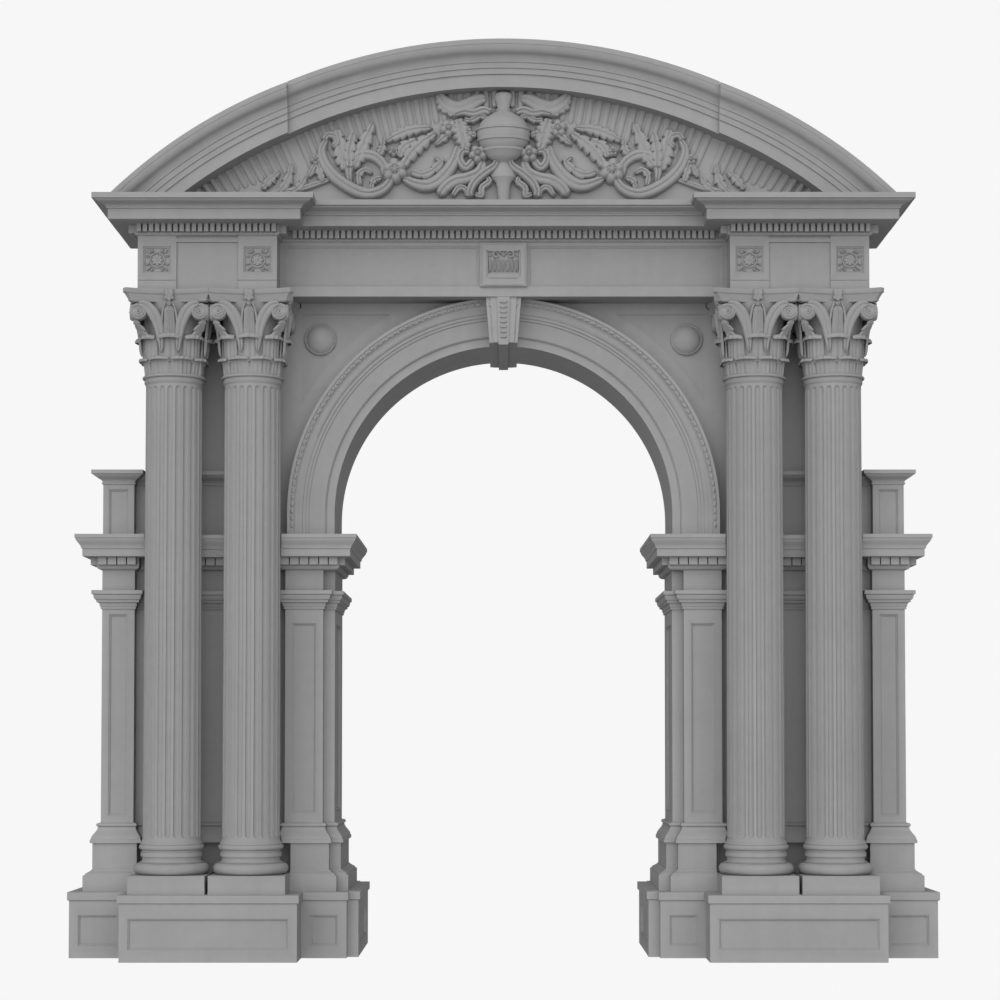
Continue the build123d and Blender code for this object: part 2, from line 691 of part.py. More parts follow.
def tympanum():
    """Wall that fills the pediment under the curved cornice."""
    crown = crown_radius - crown_thickness
    flank = flank_radius - flank_thickness
    half = crown_half_length
    crown_end = crown_centre_height + math.sqrt(crown ** 2 - half ** 2)
    flank_end = flank_centre_height + math.sqrt(flank ** 2 - (half - flank_centre_x) ** 2)
    foot = flank_centre_x + math.sqrt(flank ** 2 - (cornice_top - flank_centre_height) ** 2)
    middle_x = (half + foot) / 2
    middle = flank_centre_height + math.sqrt(flank ** 2 - (middle_x - flank_centre_x) ** 2)
    edges = [Line((-foot, cornice_top), (foot, cornice_top)),
             ThreePointArc((foot, cornice_top), (middle_x, middle), (half, flank_end)),
             Line((half, flank_end), (half, crown_end)),
             ThreePointArc((half, crown_end), (0, crown_centre_height + crown), (-half, crown_end)),
             Line((-half, crown_end), (-half, flank_end)),
             ThreePointArc((-half, flank_end), (-middle_x, middle), (-foot, cornice_top))]
    depth = entablature_back + tympanum_front
    return Pos(0, entablature_back, 0) * extrude(Plane.XZ * make_face(edges), depth)


def urn():
    """Lidded urn on a stem, carved in the middle of the pediment; only its front half stands out."""
    z = cornice_top
    body = turned((0, z), (120, z), (120, z + 40), ((70, z + 120), (62, z + 250)), (92, z + 330),
                  (110, z + 400), ((216, z + 540), (242, z + 690)), ((218, z + 780), (150, z + 830)),
                  (84, z + 850), ((96, z + 890), (72, z + 930)), (72, z + 945), dome(72, z + 945, 58))
    body = Pos(0, 30 - tympanum_front, 0) * body
    return body & box_between((-LONG, -LONG, 0), (LONG, -tympanum_front, LONG))


def scrollwork():
    """Right half of the foliage in the pediment, as one slab of joined rounds."""
    rounds = [(2020, 162, 150), (1800, 222, 150), (1560, 232, 150), (1300, 382, 200),
              (1130, 342, 290), (860, 302, 170), (640, 382, 200), (420, 242, 190),
              (460, 542, 180), (450, 762, 160), (300, 122, 130)]
    shape = Sketch()
    for x, z, radius in rounds:
        shape += Pos(x, cornice_top + z) * Circle(radius)
    slab = Pos(0, -tympanum_front, 0) * extrude(Plane.XZ * shape, 90)
    return slab - box_between((-LONG, -LONG, 0), (250, LONG, LONG)) - box_between(
        (-LONG, -LONG, 0), (LONG, LONG, cornice_top))


# ---- writing -------------------------------------------------------------------------------------------------
def write(name, shape):
    """Moves a piece into the gateway's own frame and writes it as one STEP file."""
    solids = shape if isinstance(shape, list) else shape.solids()
    placed = [Pos(0, -origin_depth, 0) * solid for solid in solids]
    whole = placed[0] if len(placed) == 1 else Compound(children=placed)
    export_step(whole, f"parts/{name}.step")


def write_pair(name, shape):
    """Writes a right-hand piece and its mirror image."""
    solids = shape if isinstance(shape, list) else shape.solids()
    write("right_" + name, list(solids))
    write("left_" + name, [mirror(solid, Plane.YZ) for solid in solids])


os.makedirs("parts", exist_ok=True)

write_pair("pedestal", pedestal())
write_pair("pedestal_cap", pedestal_cap())
write_pair("pier_base", pier_base())
write_pair("pier_shaft", pier_shaft())
write_pair("pier_capital", pier_capital())
write_pair("impost_cornice", impost_cornice())
write_pair("attic_block", attic_block())
write_pair("spandrel_wall", spandrel_wall())
write_pair("spandrel_bosses", spandrel_boss())
write_pair("archivolt", archivolt())
write_pair("column_frieze", column_frieze())
write_pair("raking_flank", raking_flank())
write_pair("scrollwork", scrollwork())

base, shaft = column_base(), column_shaft()
for place, x in column_x.items():
    move = Pos(x, -column_forward, 0)
    joint_side = 1 if place == "inner" else -1
    write_pair(f"{place}_column_base", move * base)
    write_pair(f"{place}_column_shaft", move * shaft)
    write_pair(f"{place}_column_capital", move * column_capital(joint_side))

write("keystone", keystone())
write("architrave", architrave())
write("central_frieze", central_frieze())
write("frieze_plaque", frieze_plaque())
write("dentil_course", dentil_course())
write("main_cornice", main_cornice())
write("raking_crown", raking_crown())
write("tympanum", tympanum())
write("urn", urn())
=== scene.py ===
"""Looks of the arched gateway: pale grey carved stone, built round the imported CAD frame."""
import bpy
import math
import numpy as np
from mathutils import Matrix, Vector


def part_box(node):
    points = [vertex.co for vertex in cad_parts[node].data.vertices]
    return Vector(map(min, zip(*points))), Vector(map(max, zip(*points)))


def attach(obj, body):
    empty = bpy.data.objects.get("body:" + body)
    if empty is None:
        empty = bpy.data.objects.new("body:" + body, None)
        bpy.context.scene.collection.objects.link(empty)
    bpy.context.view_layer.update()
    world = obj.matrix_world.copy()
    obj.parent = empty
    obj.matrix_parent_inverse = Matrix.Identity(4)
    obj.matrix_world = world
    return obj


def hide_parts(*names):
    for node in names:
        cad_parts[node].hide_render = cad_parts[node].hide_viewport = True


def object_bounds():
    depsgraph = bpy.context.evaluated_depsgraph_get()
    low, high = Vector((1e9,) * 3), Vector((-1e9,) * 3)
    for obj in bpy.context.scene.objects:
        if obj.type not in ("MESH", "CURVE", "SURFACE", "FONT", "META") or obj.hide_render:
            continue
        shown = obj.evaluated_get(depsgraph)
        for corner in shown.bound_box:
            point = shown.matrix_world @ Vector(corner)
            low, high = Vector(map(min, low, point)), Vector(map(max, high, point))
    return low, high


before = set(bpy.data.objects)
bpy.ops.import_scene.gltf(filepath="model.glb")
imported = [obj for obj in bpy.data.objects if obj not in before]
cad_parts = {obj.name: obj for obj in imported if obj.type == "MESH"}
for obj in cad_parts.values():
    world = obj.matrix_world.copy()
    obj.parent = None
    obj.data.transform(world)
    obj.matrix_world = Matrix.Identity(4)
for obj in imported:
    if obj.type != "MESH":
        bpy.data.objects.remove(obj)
cad_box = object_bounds()
scene = bpy.context.scene

# ==== Studio ======================================================================================
# A pale shadowless floor that glows as bright as the sky behind it, one very broad low sun in
# front of the gateway, and a camera at eye height a little under twenty metres away.
floor_mesh = bpy.data.meshes.new("floor")
half_floor = 400
floor_mesh.from_pydata([(-half_floor, -half_floor, 0), (half_floor, -half_floor, 0),
                        (half_floor, half_floor, 0), (-half_floor, half_floor, 0)],
                       [], [(0, 1, 2, 3)])
floor = bpy.data.objects.new("floor", floor_mesh)
floor.visible_diffuse = floor.visible_glossy = False
scene.collection.objects.link(floor)

camera_data = bpy.data.cameras.new("camera")
camera_data.lens = 79.2
camera_data.shift_x = -0.0035
camera_data.shift_y = 0.16
camera_data.clip_end = 2000
camera = bpy.data.objects.new("camera", camera_data)
wall_face = cad_box[0].y + 0.896
viewing_distance, eye_height, upward_slope = 19.14, 1.857, 80 / 2200
camera.location = (0, wall_face - viewing_distance, eye_height)
camera.rotation_euler = (math.radians(90) + math.atan(upward_slope), 0, 0)
scene.collection.objects.link(camera)
scene.camera = camera

sun_data = bpy.data.lights.new("soft_sun", "SUN")
sun_data.energy = 3.0
sun_data.angle = math.radians(105)
sun = bpy.data.objects.new("soft_sun", sun_data)
sun.rotation_euler = (math.radians(74), 0, math.radians(-8))
scene.collection.objects.link(sun)

world = bpy.data.worlds.new("studio_sky")
world.use_nodes = True
scene.world = world
scene.view_settings.view_transform = "Standard"


# ==== Stone =======================================================================================
# Pale grey limestone, rubbed smooth: dressed blocks are even, and carved stone has a slightly
# lighter, finer skin. Faint clouding, rain streaks and pits come from the same rock.
class Socket:
    """A shader value; + - * on sockets and numbers add Math nodes to its tree."""

    def __init__(self, tree, link):
        self.tree, self.link = tree, link

    def node(self, kind, settings=None, output=0, **inputs):
        """New node of a kind: its settings first, then values or links of its named inputs."""
        made = self.tree.nodes.new(kind)
        for name, value in (settings or {}).items():
            setattr(made, name, value)
        for name, value in inputs.items():
            key = int(name[1:]) if name[1:].isdigit() else name.replace("_", " ")
            target = made.inputs[key]
            if isinstance(value, Socket):
                self.tree.links.new(value.link, target)
            else:
                target.default_value = value
        return Socket(self.tree, made.outputs[output])

    def maths(self, operation, first, second):
        return self.node("ShaderNodeMath", {"operation": operation}, i0=first, i1=second)

    def __add__(self, other):
        return self.maths("ADD", self, other)

    def __radd__(self, other):
        return self.maths("ADD", other, self)

    def __sub__(self, other):
        return self.maths("SUBTRACT", self, other)

    def __mul__(self, other):
        return self.maths("MULTIPLY", self, other)

    def __rmul__(self, other):
        return self.maths("MULTIPLY", other, self)


def stone_material(name, dark, light, grain):
    """Limestone from dark to light, with clouding, streaks, flecks, pits, worn edges and bump."""
    material = bpy.data.materials.new(name)
    material.use_nodes = True
    tree = material.node_tree
    shader = tree.nodes["Principled BSDF"]
    place = Socket(tree, tree.nodes.new("ShaderNodeTexCoord").outputs["Object"])
    cloud = place.node("ShaderNodeTexNoise", Vector=place, Scale=0.8, Detail=5.0, Roughness=0.6)
    mottle = place.node("ShaderNodeTexNoise", Vector=place, Scale=11.0, Detail=4.0, Roughness=0.6)
    fleck = place.node("ShaderNodeTexNoise", Vector=place, Scale=140.0, Detail=3.0, Roughness=0.7)
    tall = place.node("ShaderNodeMapping", Vector=place, Scale=(9.0, 9.0, 0.35))
    streak = place.node("ShaderNodeTexNoise", Vector=tall, Scale=1.0, Detail=3.0, Roughness=0.5)
    pit = place.node("ShaderNodeTexVoronoi", Vector=place, Scale=38.0)
    hole = place.node("ShaderNodeMapRange", Value=pit, From_Min=0.06, From_Max=0.14, To_Min=0.0,
                      To_Max=1.0)
    edge = Socket(tree, tree.nodes.new("ShaderNodeNewGeometry").outputs["Pointiness"])
    worn = place.node("ShaderNodeMapRange", Value=edge, From_Min=0.5, From_Max=0.6, To_Min=0.0,
                      To_Max=0.12)
    tone = cloud * 0.42 + mottle * 0.22 + streak * 0.2 + fleck * 0.16 + worn
    colour = place.node("ShaderNodeValToRGB", i0=tone)
    ramp = colour.link.node.color_ramp
    ramp.elements[0].position, ramp.elements[1].position = 0.36, 0.68
    ramp.elements[0].color, ramp.elements[1].color = dark, light
    tree.links.new(colour.link, shader.inputs["Base Color"])
    rough = 0.74 + fleck * 0.14 + mottle * 0.06
    tree.links.new(rough.link, shader.inputs["Roughness"])
    skin = fleck * 0.6 + mottle * 0.5 + hole * 0.5
    bump = place.node("ShaderNodeBump", Strength=grain, Distance=0.0015, Height=skin)
    tree.links.new(bump.link, shader.inputs["Normal"])
    shader.inputs["Specular IOR Level"].default_value = 0.25
    return material


ashlar = stone_material("ashlar_stone", (0.268, 0.268, 0.27, 1), (0.325, 0.325, 0.326, 1), 0.3)
carved = stone_material("carved_stone", (0.272, 0.272, 0.274, 1), (0.33, 0.33, 0.331, 1), 0.22)
for name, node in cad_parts.items():
    is_carved = any(word in name for word in ("keystone", "plaque", "boss"))
    node.data.materials.clear()
    node.data.materials.append(carved if is_carved else ashlar)

light_path = world.node_tree.nodes.new("ShaderNodeLightPath")
seen_directly = Socket(world.node_tree, light_path.outputs["Is Camera Ray"])
level = seen_directly * 0.63 + 0.3
background = world.node_tree.nodes["Background"]
background.inputs["Color"].default_value = (1, 1, 1, 1)
world.node_tree.links.new(level.link, background.inputs["Strength"])

pale = bpy.data.materials.new("pale_floor")
pale.use_nodes = True
glow = pale.node_tree.nodes["Principled BSDF"].inputs
glow["Base Color"].default_value = (0, 0, 0, 1)
glow["Specular IOR Level"].default_value = 0.0
glow["Emission Color"].default_value = (1, 1, 1, 1)
glow["Emission Strength"].default_value = 0.93
floor.data.materials.append(pale)


# ==== Column capitals =============================================================================
# Each capital is one carved block on its shaft: a bell behind two tiers of eight veined leaves,
# stalks that rise to spiral volutes at the corners, a palm stalk on each face and a hollow-sided
# abacus with a flower. The pair's abaci meet in a straight joint, and the wall cuts the backs.
class Carving:
    """Grids of points gathered into the mesh of one carved piece."""

    def __init__(self):
        self.points, self.faces, self.total = [], [], 0

    def grid(self, points, round_first=False, round_second=False):
        """Adds a (rows, columns, 3) array as quads; a round axis joins its end to its start."""
        rows, columns = points.shape[:2]
        row = np.arange(rows if round_first else rows - 1)[:, None]
        column = np.arange(columns if round_second else columns - 1)[None, :]
        below, beside = (row + 1) % rows, (column + 1) % columns
        quads = np.stack([row * columns + column, below * columns + column,
                          below * columns + beside, row * columns + beside], -1)
        self.points.append(points.reshape(-1, 3))
        self.faces.append(quads.reshape(-1, 4) + self.total)
        self.total += rows * columns

    def make(self, name, *nodes):
        """The finished object, standing for the given CAD nodes."""
        points, faces = np.concatenate(self.points), np.concatenate(self.faces)
        mesh = bpy.data.meshes.new(name)
        mesh.vertices.add(len(points))
        mesh.vertices.foreach_set("co", points.astype(np.float32).ravel())
        mesh.loops.add(faces.size)
        mesh.loops.foreach_set("vertex_index", faces.astype(np.int32).ravel())
        mesh.polygons.add(len(faces))
        mesh.polygons.foreach_set("loop_start", np.arange(len(faces), dtype=np.int32) * 4)
        mesh.update(calc_edges=True)
        mesh.validate()
        mesh.shade_smooth()
        mesh.set_sharp_from_angle(angle=math.radians(38))
        mesh.materials.append(carved)
        made = bpy.data.objects.new(name, mesh)
        scene.collection.objects.link(made)
        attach(made, "root")
        if nodes:
            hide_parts(*nodes)
        return made


def turned(profile, steps, start=0.0, end=2 * math.pi):
    """Surface of revolution about Z: (r cos a, r sin a, z) for each (r, z) of the profile."""
    radius, height = np.array(profile, float).T
    angle = np.linspace(start, end, steps)
    return np.stack([radius[:, None] * np.cos(angle), radius[:, None] * np.sin(angle),
                     np.broadcast_to(height[:, None], (len(radius), steps))], -1)


def spline(points, count):
    """Catmull-Rom curve through the points, (2b + (c-a)f + (2a-5b+4c-d)f2 + (3b-3c+d-a)f3) / 2."""
    given = np.asarray(points, float)
    given = np.vstack([2 * given[0] - given[1], given, 2 * given[-1] - given[-2]])
    place = np.linspace(0, len(points) - 1 - 1e-9, count)
    index = place.astype(int)
    f = (place - index)[:, None]
    a, b, c, d = (given[index + shift] for shift in range(4))
    return 0.5 * (2 * b + (c - a) * f + (2 * a - 5 * b + 4 * c - d) * f ** 2
                  + (3 * b - 3 * c + d - a) * f ** 3)


def band(points, widths, rise, lobes=0, rib=0.25, steps=40, across=13):
    """Rounded strap along a curve, facing -Y. It is rise * sqrt(1 - u6) (1 - 0.16 u2) high with a
    groove down it; half widths are spread along it, and lobes cut its edge into leaning leaves."""
    path = spline(points, steps)
    way = np.gradient(path, axis=0)
    side = np.cross(way, (0, -1, 0))
    side /= np.linalg.norm(side, axis=1)[:, None] + 1e-9
    t = np.linspace(0, 1, steps)
    u = np.linspace(-1, 1, across)
    width = np.interp(t, np.linspace(0, 1, len(widths)), widths)
    close = np.clip(np.minimum(t, 1 - t) / 0.07, 0, 1) ** 0.5
    scallop = 1 - 0.42 * ((lobes * t) % 1) ** 2.5 if lobes else 1.0
    reach = (width * close * scallop)[:, None] * u
    groove = rib * np.exp(-(u / 0.17) ** 2)
    crown = np.sqrt(1 - 0.995 * np.abs(u) ** 6) * (1 - 0.16 * u ** 2) - groove
    high = rise * (0.35 + 0.65 * close)[:, None] * crown
    if lobes:
        vein = np.cos(2 * math.pi * (lobes * t[:, None] - 0.8 * np.abs(u)))
        high = high * (1 + 0.05 * vein * np.abs(u) * (1 - u ** 2))
    return path[:, None, :] + side[:, None, :] * reach[..., None] + np.stack(
        [0 * high, -high, 0 * high], -1)


def flower(centre, radius, petals, rise, turn=0.0):
    """Open flower facing -Y: petals r(a) = R (0.74 + 0.26 |cos(n a / 2)|) round a ringed button."""
    r = np.linspace(0, 1, 15)[:, None]
    a = np.linspace(0, 2 * math.pi, 12 * petals + 1)[None, :]
    petal = np.abs(np.cos(petals * (a - turn) / 2)) ** 0.7
    reach = radius * (0.74 + 0.26 * petal) * r
    high = rise * (np.sqrt(1 - 0.99 * r ** 4) * (0.72 + 0.12 * petal * np.minimum(1, 2 * r))
                   + 0.22 * np.exp(-(r / 0.2) ** 2) - 0.14 * np.exp(-((r - 0.32) / 0.07) ** 2))
    return np.stack([centre[0] + reach * np.cos(a), centre[1] - high,
                     centre[2] + reach * np.sin(a)], -1)


def spin(points, angle):
    """Points turned about Z."""
    c, s = math.cos(angle), math.sin(angle)
    x, y, z = points[..., 0], points[..., 1], points[..., 2]
    return np.stack([x * c - y * s, x * s + y * c, z], -1)


def wrapped_leaf(middle, half_angle, foot, head, curl, lobes):
    """Broad leaf laid on the bell round an angle: it climbs, then its tip rolls out and over a
    circle of radius curl. Veins cos(2 pi n u) run up it and its edge is scalloped."""
    v, u = np.linspace(0, 1, 34)[:, None], np.linspace(-1, 1, 29)[None, :]
    climb = np.clip(v / 0.66, 0, 1)
    roll = np.clip((v - 0.66) / 0.34, 0, 1) * math.radians(205)
    tip = 1 - 0.3 * np.abs(u) ** 2.2
    z = foot + (head - foot - curl) * climb * (1 - 0.05 * u ** 2) + curl * np.sin(roll) * tip
    lean = 0.247 + 0.012 * (foot > 0.05) + 0.014 * climb
    r = lean + curl * (1 - np.cos(roll)) * (1 - 0.34 * np.abs(u) ** 2)
    vein = 0.0035 * np.cos(2 * math.pi * 2.5 * u) * (1 - 0.5 * v)
    midrib = 0.006 * np.exp(-(u / 0.07) ** 2)
    r = r + vein + midrib - 0.007 * np.abs(u) ** 3
    edge = 1 - 0.05 * (1 - np.abs(np.sin(math.pi * lobes * v))) - 0.2 * np.clip(v - 0.72, 0, 1)
    a = middle + half_angle * u * edge
    return np.stack([r * np.cos(a), r * np.sin(a), z + 0 * a], -1)


def volute(x, y, z, radius, depth):
    """Spiral disc facing -Y on a swelling drum: ridges 0.5 + 0.5 cos 2 pi (r / p - a / 2 pi)."""
    r = np.concatenate([np.linspace(0.02, 0.97, 26), np.ones(8)])[:, None]
    back = np.concatenate([np.zeros(26), np.linspace(0.06, 1, 8)])[:, None]
    a = np.linspace(0, 2 * math.pi, 57)[None, :]
    ridge = (0.5 + 0.5 * np.cos(2 * math.pi * (r / 0.34 - a / (2 * math.pi)))) ** 0.7
    face = np.where(back > 0, 0, 0.011 * ridge * np.clip((1 - r) * 14, 0, 1) - 0.009 * (r < 0.98)
                    + 0.014 * np.exp(-(r / 0.12) ** 2))
    swell = radius * (1 + 0.13 * np.sin(math.pi * np.clip(back, 0, 1)))
    return np.stack([x + swell * r * np.cos(a), y - face + depth * back + 0 * a,
                     z + swell * r * np.sin(a)], -1)


block = []
bell = [(0.238, 0), (0.243, 0.1), (0.246, 0.3), (0.256, 0.45), (0.275, 0.54), (0.302, 0.6),
        (0.306, 0.608), (0.0, 0.608)]
block.append(turned(bell, 97))
for turn in range(8):
    low_leaf, high_leaf = math.radians(22.5 + 45 * turn), math.radians(45 * turn)
    block.append(wrapped_leaf(low_leaf, math.radians(22), 0.0, 0.148, 0.021, 5))
    block.append(wrapped_leaf(high_leaf, math.radians(20.5), 0.10, 0.338, 0.03, 7))
for turn in range(4):
    angle = math.pi / 2 * turn
    for side in (-1, 1):
        stalk = [(side * 0.07, -0.262, 0.17), (side * 0.078, -0.272, 0.3),
                 (side * 0.098, -0.287, 0.42), (side * 0.142, -0.306, 0.512),
                 (side * 0.2, -0.318, 0.57), (side * 0.262, -0.322, 0.582)]
        broad = (0.016, 0.032, 0.046, 0.05, 0.04, 0.024)
        block.append(spin(band(stalk, broad, 0.024, 0, 0.45), angle))
        inner = [(side * 0.066, -0.266, 0.25), (side * 0.066, -0.28, 0.42),
                 (side * 0.052, -0.3, 0.53), (side * 0.03, -0.315, 0.588)]
        block.append(spin(band(inner, (0.008, 0.011, 0.011, 0.008), 0.024, 0, 0.0, 24, 9), angle))
        block.append(spin(volute(side * 0.26, -0.335, 0.516, 0.067, 0.095), angle))
    v, u = np.linspace(0, 1, 22)[:, None], np.linspace(-1, 1, 33)[None, :]
    wide = 0.056 * (1 - 0.25 * v) * np.clip((1.02 - v) / 0.16, 0, 1) ** 0.5
    round_face = 0.034 * np.sqrt(np.clip(1 - u ** 2, 0, 1)) * np.clip((1.05 - v) / 0.2, 0, 1)
    reeds = 0.0035 * np.cos(2 * math.pi * 3.5 * u) * (1 - u ** 2)
    out = 0.262 + 0.05 * v + round_face + reeds
    block.append(spin(np.stack([wide * u, -out, 0.31 + 0.26 * v + 0 * u], -1), angle))
    block.append(spin(flower((0, -0.318, 0.582), 0.02, 5, 0.02), angle))
    block.append(spin(flower((0, -0.312, 0.648), 0.046, 6, 0.022, math.pi / 6), angle))
    block.append(spin(band([(0, -0.3, 0.62), (0, -0.318, 0.67), (0, -0.32, 0.708)],
                           (0.03, 0.044, 0.04), 0.026, 0, 0.3, 14, 11), angle))
    leaf = [(0, -0.29, 0.3), (0, -0.335, 0.36), (0, -0.385, 0.415), (0, -0.4, 0.455)]
    corner_leaf = band(leaf, (0.05, 0.06, 0.045, 0.02), 0.022, 3, 0.1, 26, 11)
    block.append(spin(corner_leaf, angle + math.pi / 4))

half_side = 0.355
side_x = np.linspace(-half_side, half_side, 27)
side_y = -0.385 + 0.07 * (1 - (side_x / half_side) ** 2)
edge = np.stack([side_x, side_y, 0 * side_x], -1)
outline = np.concatenate([spin(edge, math.pi / 2 * turn) for turn in range(4)])
levels = [(0.86, 0.596), (0.895, 0.604), (0.9, 0.618), (0.93, 0.64), (0.958, 0.656), (0.96, 0.662),
          (0.982, 0.665), (1.0, 0.674), (1.0, 0.708)]
slab = np.stack([outline * (share, share, 0) + (0, 0, height) for share, height in levels])
block.append(np.concatenate([slab[:1] * (0.3, 0.3, 1), slab]))

for side in ("left", "right"):
    for place in ("inner", "outer"):
        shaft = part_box(f"{side}_{place}_column_shaft")
        axis = np.array([(shaft[0].x + shaft[1].x) / 2, (shaft[0].y + shaft[1].y) / 2, shaft[1].z])
        node = f"{side}_{place}_column_capital"
        low, high = (np.array(corner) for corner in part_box(node))
        capital = Carving()
        for part in block:
            capital.grid(np.clip(part + axis, low, high), round_second=part is block[-1])
        capital.make(f"{side}_{place}_carved_capital", node)

# ==== Foliage of the pediment =====================================================================
# Scrolls of acanthus carved in high relief in the same block as the pediment's wall: one great
# crescent with a flower each side, leaf heads, ribbons beside the urn and sprigs in the corners.
wall_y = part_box("tympanum")[0].y
stems = [
    ([(1.51, 7.07), (1.57, 6.957), (1.543, 6.834), (1.448, 6.712), (1.292, 6.608), (1.154, 6.573),
      (1.024, 6.625), (0.947, 6.747)], (0.02, 0.04, 0.05, 0.05, 0.045, 0.03), 0.1, 0),
    ([(1.492, 6.974), (1.44, 7.009), (1.458, 7.07), (1.518, 7.079), (1.553, 7.026)],
      (0.02, 0.03, 0.03, 0.025), 0.11, 0),
    ([(1.318, 6.66), (1.336, 6.765), (1.301, 6.861), (1.215, 6.913), (1.111, 6.895),
      (1.033, 6.817), (1.033, 6.721)], (0.02, 0.035, 0.042, 0.045, 0.04, 0.03), 0.1, 0),
    ([(1.24, 6.634), (1.249, 6.73), (1.197, 6.782), (1.128, 6.747)], (0.02, 0.035, 0.03, 0.02),
      0.09, 3),
    ([(1.145, 6.608), (1.119, 6.686), (1.05, 6.712)], (0.02, 0.035, 0.02), 0.09, 3),
    ([(1.103, 6.887), (1.051, 6.957), (1.042, 7.044)], (0.02, 0.045, 0.02), 0.1, 4),
    ([(1.362, 6.765), (1.405, 6.939), (1.441, 7.149)], (0.03, 0.075, 0.07, 0.03), 0.1, 5),
    ([(1.327, 6.782), (1.328, 6.939), (1.293, 7.105)], (0.03, 0.06, 0.06, 0.025), 0.12, 4),
    ([(1.293, 6.782), (1.215, 6.983), (1.121, 7.201)], (0.03, 0.07, 0.06, 0.02), 0.1, 5),
    ([(0.877, 6.712), (0.765, 6.66), (0.661, 6.643), (0.566, 6.686), (0.48, 6.773),
      (0.419, 6.878), (0.385, 7.009)], (0.03, 0.05, 0.055, 0.05, 0.03), 0.11, 0),
    ([(0.808, 6.765), (0.696, 6.738), (0.601, 6.782), (0.54, 6.852), (0.601, 6.895)],
      (0.03, 0.045, 0.04, 0.02), 0.09, 4),
    ([(0.878, 6.799), (0.791, 6.93), (0.688, 7.026), (0.575, 7.105)], (0.035, 0.065, 0.06, 0.02),
      0.1, 5),
    ([(0.904, 6.887), (0.861, 6.983), (0.748, 7.044)], (0.03, 0.055, 0.03), 0.08, 4),
    ([(1.025, 7.026), (0.904, 7.088), (0.774, 7.131), (0.61, 7.149)], (0.02, 0.055, 0.05, 0.02),
      0.09, 6),
    ([(0.576, 7.463), (0.506, 7.367), (0.411, 7.315), (0.316, 7.341), (0.221, 7.393),
      (0.134, 7.402)], (0.03, 0.06, 0.07, 0.065, 0.055, 0.03), 0.1, 0),
    ([(0.576, 7.446), (0.524, 7.341), (0.42, 7.253)], (0.02, 0.055, 0.03), 0.085, 5),
    ([(0.428, 7.253), (0.342, 7.28), (0.255, 7.271), (0.169, 7.297), (0.1, 7.271)],
      (0.02, 0.035, 0.04, 0.03), 0.12, 0),
    ([(0.35, 7.219), (0.281, 7.21), (0.195, 7.245), (0.125, 7.219)], (0.02, 0.03, 0.03, 0.02),
      0.1, 3),
    ([(0.394, 7.227), (0.359, 7.096), (0.316, 6.939)], (0.03, 0.085, 0.08, 0.03), 0.13, 6),
    ([(0.359, 7.044), (0.29, 7.088), (0.229, 7.07)], (0.03, 0.04, 0.02), 0.11, 3),
    ([(0.463, 7.105), (0.523, 7.053), (0.592, 6.991)], (0.03, 0.04, 0.01), 0.09, 3),
    ([(0.255, 6.869), (0.324, 6.799), (0.376, 6.869), (0.35, 6.939), (0.281, 6.939)],
      (0.035, 0.035, 0.03, 0.03), 0.12, 0),
    ([(0.169, 6.869), (0.212, 6.765), (0.307, 6.712), (0.419, 6.686), (0.506, 6.625),
      (0.557, 6.547)], (0.035, 0.045, 0.05, 0.05, 0.04), 0.11, 0),
    ([(0.056, 6.869), (0.082, 6.808), (0.169, 6.747), (0.246, 6.677), (0.29, 6.59),
      (0.281, 6.529)], (0.02, 0.035, 0.04, 0.035, 0.03), 0.13, 0),
    ([(0.255, 6.573), (0.194, 6.555), (0.186, 6.625), (0.125, 6.677), (0.143, 6.721)],
      (0.02, 0.03, 0.03, 0.02), 0.1, 0),
    ([(0.445, 6.547), (0.385, 6.625), (0.324, 6.608), (0.307, 6.538)], (0.02, 0.03, 0.025, 0.02),
      0.09, 0),
    ([(2.087, 6.608), (2.019, 6.695), (1.932, 6.773)], (0.02, 0.05, 0.02), 0.07, 4),
    ([(1.966, 6.564), (1.872, 6.677), (1.829, 6.843)], (0.02, 0.05, 0.02), 0.07, 4),
    ([(1.845, 6.582), (1.759, 6.643), (1.707, 6.73)], (0.02, 0.045, 0.02), 0.07, 3),
    ([(1.613, 6.852), (1.587, 6.765), (1.56, 6.669)], (0.015, 0.045, 0.02), 0.08, 3),
    ([(1.621, 6.843), (1.656, 6.773), (1.681, 6.712)], (0.015, 0.035, 0.015), 0.08, 2),
    ([(2.174, 6.555), (1.914, 6.59), (1.707, 6.634), (1.483, 6.712)], (0.015, 0.025, 0.025, 0.02),
      0.06, 0),
]
flowers = [((0.938, 6.773), 0.12, 6, 0.13), ((0.472, 7.14), 0.085, 5, 0.12),
           ((0.316, 7.096), 0.06, 5, 0.12), ((0.221, 6.913), 0.088, 5, 0.15),
           ((0.947, 6.939), 0.05, 5, 0.1), ((1.621, 6.869), 0.055, 5, 0.1)]
root_y = wall_y + 0.004
fullness, relief_share = 1.16, 0.8
for side, sign in (("left", -1), ("right", 1)):
    foliage = Carving()
    for points, widths, rise, lobes in stems:
        path = [(sign * x, root_y, z) for x, z in points]
        broad = [fullness * width for width in widths]
        steps = 60 if len(points) > 4 else 44
        foliage.grid(band(path, broad, relief_share * rise, lobes, 0.18, steps, 17))
    for (x, z), radius, petals, rise in flowers:
        foliage.grid(flower((sign * x, root_y, z), radius, petals, rise, 0.4 * sign))
    foliage.make(f"{side}_carved_scrollwork", f"{side}_scrollwork")

